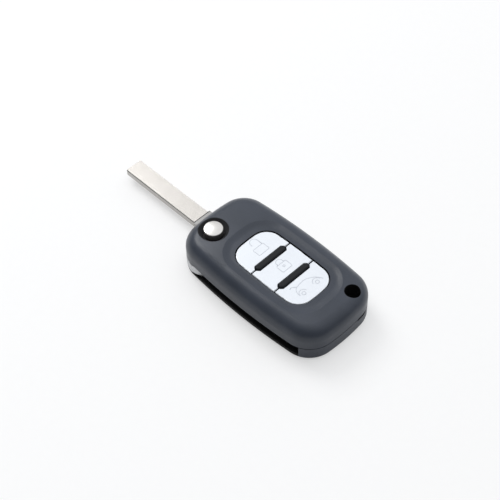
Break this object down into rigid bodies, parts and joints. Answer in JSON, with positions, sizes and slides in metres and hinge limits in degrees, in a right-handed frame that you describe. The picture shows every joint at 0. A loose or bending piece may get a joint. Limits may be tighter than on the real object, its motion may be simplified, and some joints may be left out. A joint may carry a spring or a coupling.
{
  "type": "folding key fob shell",
  "caption": "Empty folding car key fob shell: dished charcoal case with white keys, a sprung release button and an uncut blade that folds into a side slot.",
  "frame": {"origin": "centre of the flat back face of the case, on the surface it rests on", "axes": "+Z out of the key face, +X towards the key-ring end (the open blade points along -X), -Y towards the side with the blade slot"},
  "size_m": [0.118, 0.0396, 0.0168],
  "materials": {
    "case_plastic": "satin",
    "inner_plastic": "matte",
    "ridge_plastic": "matte",
    "mat_rubber": "matte",
    "key_plastic": "satin",
    "chrome": "polished",
    "head_metal": "satin",
    "blade_steel": "satin",
    "spring_steel": "satin",
    "contact_metal": "satin",
    "screw_steel": "satin"
  },
  "bodies": {
    "case": {"front_case": "case_plastic", "back_case": "case_plastic", "release_collar": "inner_plastic", "spring_anchor": "inner_plastic", "flip_spring": "spring_steel", "keypad_frame": "ridge_plastic", "keypad_membrane": "mat_rubber", "cell_tray": "inner_plastic", "cell_contact_minus": "contact_metal", "cell_contact_plus": "contact_metal", "case_screw_ring_end": "screw_steel", "case_screw_flip_end": "screw_steel"},
    "folding_head": {"flip_head": "head_metal", "blade": "blade_steel", "blade_roll_pin": "spring_steel"},
    "release": {"release_button": "chrome"},
    "unlock_key": {"button_unlock": "inner_plastic", "button_unlock_cap": "key_plastic"},
    "lock_key": {"button_lock": "inner_plastic", "button_lock_cap": "key_plastic"},
    "boot_key": {"button_boot": "inner_plastic", "button_boot_cap": "key_plastic"}
  },
  "joints": [
    {"name": "blade_flip", "type": "hinge", "parent": "case", "child": "folding_head", "pos_m": [-0.02725, -0.0056, 0], "axis": [0, 0, 1], "range_deg": [0, 180], "stiffness_Nm_per_rad": 0.006, "springref_deg": -57.3},
    {"name": "release_press", "type": "slide", "parent": "case", "child": "release", "axis": [0, 0, -1], "range_m": [0, 0.0016], "stiffness_N_per_m": 900, "springref_m": -0.002, "deforming": ["flip_spring"]},
    {"name": "unlock_press", "type": "slide", "parent": "case", "child": "unlock_key", "axis": [0, 0, -1], "range_m": [0, 0.0006], "stiffness_N_per_m": 1200, "springref_m": -0.001},
    {"name": "lock_press", "type": "slide", "parent": "case", "child": "lock_key", "axis": [0, 0, -1], "range_m": [0, 0.0006], "stiffness_N_per_m": 1200, "springref_m": -0.001},
    {"name": "boot_press", "type": "slide", "parent": "case", "child": "boot_key", "axis": [0, 0, -1], "range_m": [0, 0.0006], "stiffness_N_per_m": 1200, "springref_m": -0.001}
  ]
}
